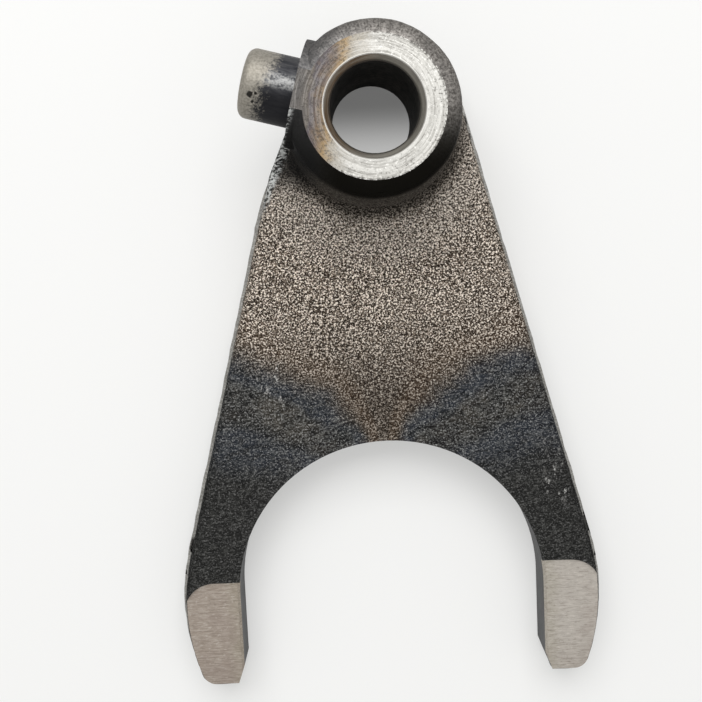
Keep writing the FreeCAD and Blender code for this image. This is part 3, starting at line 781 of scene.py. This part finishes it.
class SHIFTFORK_OT_stage(bpy.types.Operator):
    """Set the floor, the lamp, the background and the camera"""

    bl_idname = "shiftfork.stage"
    bl_label = "Set Stage"

    def execute(self, context):
        scene = context.scene
        settings = scene.shift_fork_stage
        scene.view_settings.view_transform = "Standard"
        self.add_floor(scene, settings)
        self.add_light(scene, settings)
        self.add_world(scene, settings)
        self.add_camera(scene)
        return {"FINISHED"}

    def add_floor(self, scene, settings):
        bm = bmesh.new()
        bmesh.ops.create_grid(bm, x_segments=1, y_segments=1, size=FLOOR_HALF)
        mesh = bpy.data.meshes.new("floor")
        bm.to_mesh(mesh)
        bm.free()
        floor = bpy.data.objects.new("floor", mesh)
        scene.collection.objects.link(floor)
        mesh.materials.append(self.paper(settings))

    def paper(self, settings):
        """Pale paper that fades to white away from the fork, for the rays that are seen."""
        material, nodes = new_material("floor_paper")
        place = nodes.place()
        soft = nodes.noise(place, 30.0, detail=2.0)
        darker = tuple(c * 0.97 for c in settings.floor)
        colour = nodes.mix(soft * 0.1, tuple(settings.floor), darker)
        paper = nodes.shader(colour, 0.85, nodes.bump(soft, 0.05), 0.0)
        white = nodes.add("ShaderNodeEmission", None,
                          {"Color": WHITE, "Strength": FLOOR_WHITE_STRENGTH})
        x, y = nodes.axes(place, 2)
        radius = off_axis(x, y)
        far = radius.step(WHITE_FROM, WHITE_ALL)
        # Under the bore less white is mixed in, so the paper keeps its shade, but on the mouth's
        # side more than elsewhere: a painted patch of light there.
        under_bore = radius.step(SHADE_FROM, SHADE_ALL)
        shade_there = y.step(3.0, -4.0) * 0.35 + 0.12
        near = under_bore * (shade_there - settings.glow) + settings.glow
        share = nodes.seen() * (far + near - far * near)
        nodes.add_output("ShaderNodeOutputMaterial",
                         nodes.add("ShaderNodeMixShader", None, {0: share, 1: paper, 2: white}))
        return material

    def add_light(self, scene, settings):
        lamp = bpy.data.lights.new("key_lamp", "AREA")
        lamp.shape = "RECTANGLE"
        lamp.size, lamp.size_y = LAMP_SIZE
        lamp.energy = settings.key
        key = bpy.data.objects.new("key_lamp", lamp)
        key.location = LAMP_PLACE
        to_fork = Vector(LAMP_AIM) - key.location
        key.rotation_euler = to_fork.to_track_quat("-Z", "Y").to_euler()
        scene.collection.objects.link(key)

    def add_world(self, scene, settings):
        world = bpy.data.worlds.new("studio")
        world.use_nodes = True
        scene.world = world
        nodes = Nodes(world.node_tree)
        strength = nodes.seen() * (1.0 - settings.sky) + settings.sky
        sky = nodes.add("ShaderNodeBackground", None, {"Color": WHITE, "Strength": strength})
        nodes.add_output("ShaderNodeOutputWorld", sky)

    def add_camera(self, scene):
        lens = bpy.data.cameras.new("camera")
        lens.lens = CAMERA_LENS
        lens.sensor_width = CAMERA_SENSOR
        lens.clip_start = 0.01
        lens.clip_end = 20.0
        camera = bpy.data.objects.new("camera", lens)
        back = -CAMERA_FORWARD.normalized()
        up = back.cross(CAMERA_RIGHT).normalized()
        right = up.cross(back)
        turn = Matrix((right, up, back)).transposed().to_4x4()
        camera.matrix_world = Matrix.Translation(CAMERA_PLACE) @ turn
        scene.collection.objects.link(camera)
        scene.camera = camera


class SHIFTFORK_PT_panel(bpy.types.Panel):
    """Operators and settings of the shift fork"""

    bl_idname = "SHIFTFORK_PT_panel"
    bl_label = "Shift Fork"
    bl_space_type = "VIEW_3D"
    bl_region_type = "UI"
    bl_category = "Shift Fork"

    def draw(self, context):
        layout = self.layout
        for settings in (context.scene.shift_fork_finish, context.scene.shift_fork_stage):
            box = layout.box()
            for name in settings.__annotations__:
                box.prop(settings, name)
        for operator in OPERATORS:
            layout.operator(operator.bl_idname)


OPERATORS = (SHIFTFORK_OT_fork, SHIFTFORK_OT_stage)
CLASSES = (ForkFinish, StageSettings, *OPERATORS, SHIFTFORK_PT_panel)


def register():
    for cls in CLASSES:
        bpy.utils.register_class(cls)
    bpy.types.Scene.shift_fork_finish = PointerProperty(type=ForkFinish)
    bpy.types.Scene.shift_fork_stage = PointerProperty(type=StageSettings)


def unregister():
    del bpy.types.Scene.shift_fork_stage
    del bpy.types.Scene.shift_fork_finish
    for cls in reversed(CLASSES):
        bpy.utils.unregister_class(cls)


def main():
    register()
    bpy.ops.shiftfork.fork()
    bpy.ops.shiftfork.stage()


if __name__ == "__main__":
    main()
